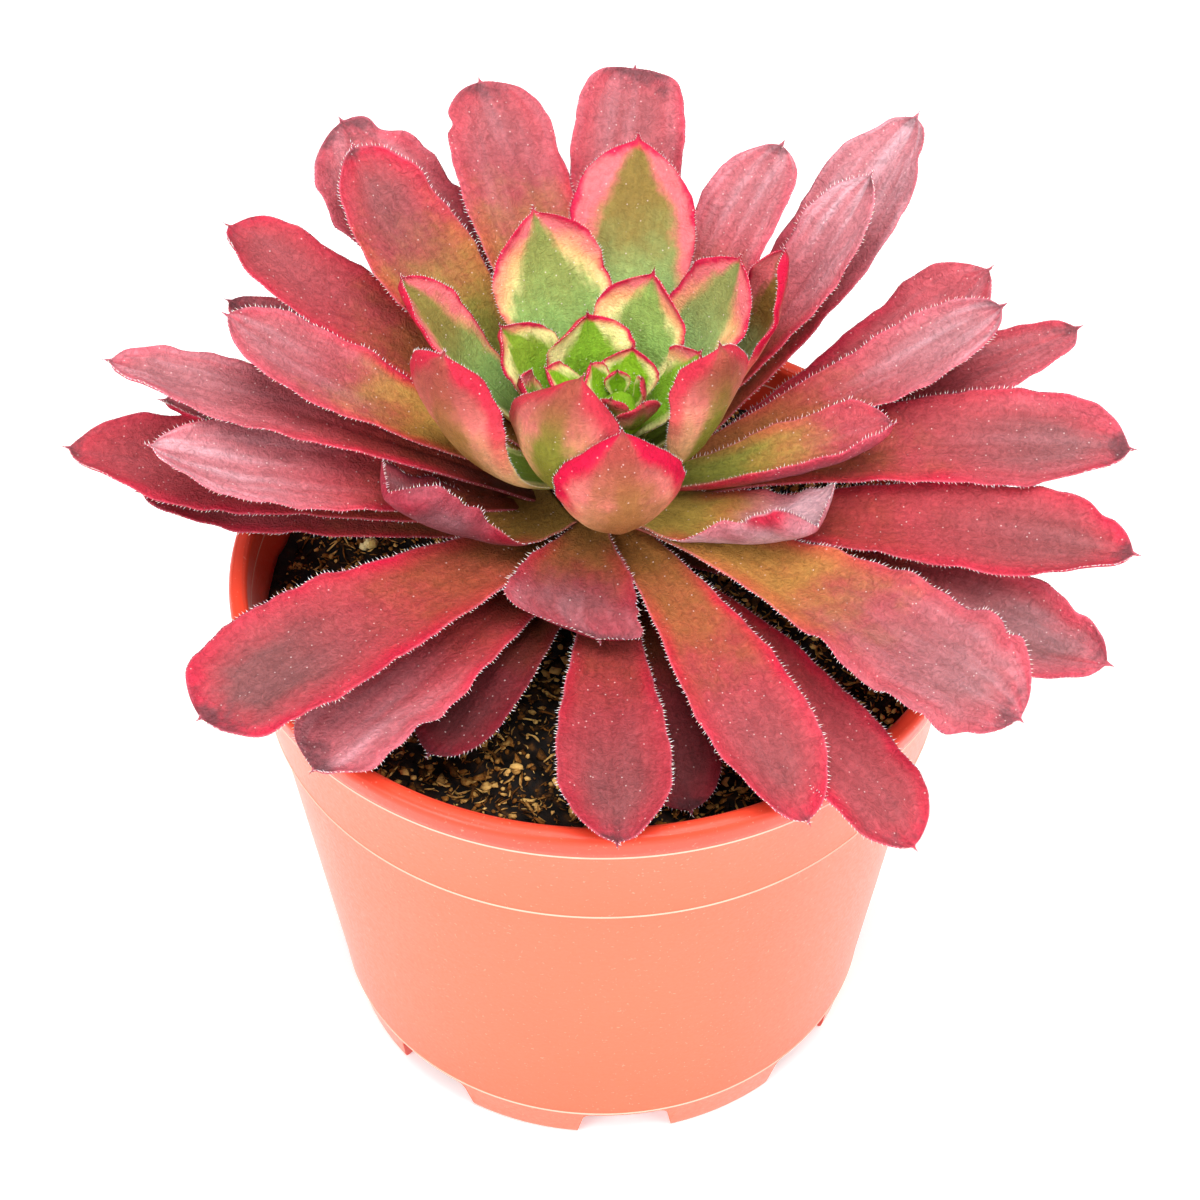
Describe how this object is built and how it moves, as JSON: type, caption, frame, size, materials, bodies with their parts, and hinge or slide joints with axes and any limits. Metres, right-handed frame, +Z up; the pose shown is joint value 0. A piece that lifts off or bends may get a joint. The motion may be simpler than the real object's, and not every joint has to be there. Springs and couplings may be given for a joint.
{
  "type": "potted aeonium",
  "caption": "Succulent rosette of red spoon-shaped leaves round a green and cream heart, rooted in dark soil in a round coral plastic nursery pot.",
  "frame": {"origin": "middle of the flat pad under the pot, on the surface that the pot stands on", "axes": "+Z up along the pot's axis, -Y towards the side that faces the viewer, +X to the viewer's right"},
  "size_m": [0.2126, 0.1649, 0.1869],
  "materials": {
    "pot_plastic": "satin",
    "potting_soil": "matte",
    "woody_stem": "matte",
    "red_leaf": "satin",
    "variegated_leaf": "satin"
  },
  "bodies": {
    "root": {"pot": "pot_plastic", "soil": "potting_soil", "stem": "woody_stem", "skirt_leaf_01": "red_leaf", "skirt_leaf_02": "red_leaf", "skirt_leaf_03": "red_leaf", "skirt_leaf_04": "red_leaf", "skirt_leaf_05": "red_leaf", "skirt_leaf_06": "red_leaf", "skirt_leaf_07": "red_leaf", "skirt_leaf_08": "red_leaf", "skirt_leaf_09": "red_leaf", "skirt_leaf_10": "red_leaf", "skirt_leaf_11": "red_leaf", "skirt_leaf_12": "red_leaf", "skirt_leaf_13": "red_leaf", "skirt_leaf_14": "red_leaf", "skirt_leaf_15": "red_leaf", "skirt_leaf_16": "red_leaf", "skirt_leaf_17": "red_leaf", "outer_leaf_01": "red_leaf", "outer_leaf_02": "red_leaf", "outer_leaf_03": "red_leaf", "outer_leaf_04": "red_leaf", "outer_leaf_05": "red_leaf", "outer_leaf_06": "red_leaf", "outer_leaf_07": "red_leaf", "outer_leaf_08": "red_leaf", "outer_leaf_09": "red_leaf", "outer_leaf_10": "red_leaf", "outer_leaf_11": "red_leaf", "middle_leaf_01": "red_leaf", "middle_leaf_02": "red_leaf", "middle_leaf_03": "red_leaf", "middle_leaf_04": "red_leaf", "middle_leaf_05": "red_leaf", "middle_leaf_06": "red_leaf", "middle_leaf_07": "red_leaf", "middle_leaf_08": "red_leaf", "middle_leaf_09": "red_leaf", "middle_leaf_10": "red_leaf", "middle_leaf_11": "red_leaf", "middle_leaf_12": "red_leaf", "middle_leaf_13": "red_leaf", "inner_leaf_01": "variegated_leaf", "inner_leaf_02": "variegated_leaf", "inner_leaf_03": "variegated_leaf", "inner_leaf_04": "variegated_leaf", "inner_leaf_05": "variegated_leaf", "inner_leaf_06": "variegated_leaf", "inner_leaf_07": "variegated_leaf", "inner_leaf_08": "variegated_leaf", "inner_leaf_09": "variegated_leaf", "inner_leaf_10": "variegated_leaf", "inner_leaf_11": "variegated_leaf", "inner_leaf_12": "variegated_leaf", "inner_leaf_13": "variegated_leaf", "inner_leaf_14": "variegated_leaf", "bud": "variegated_leaf"}
  },
  "joints": []
}
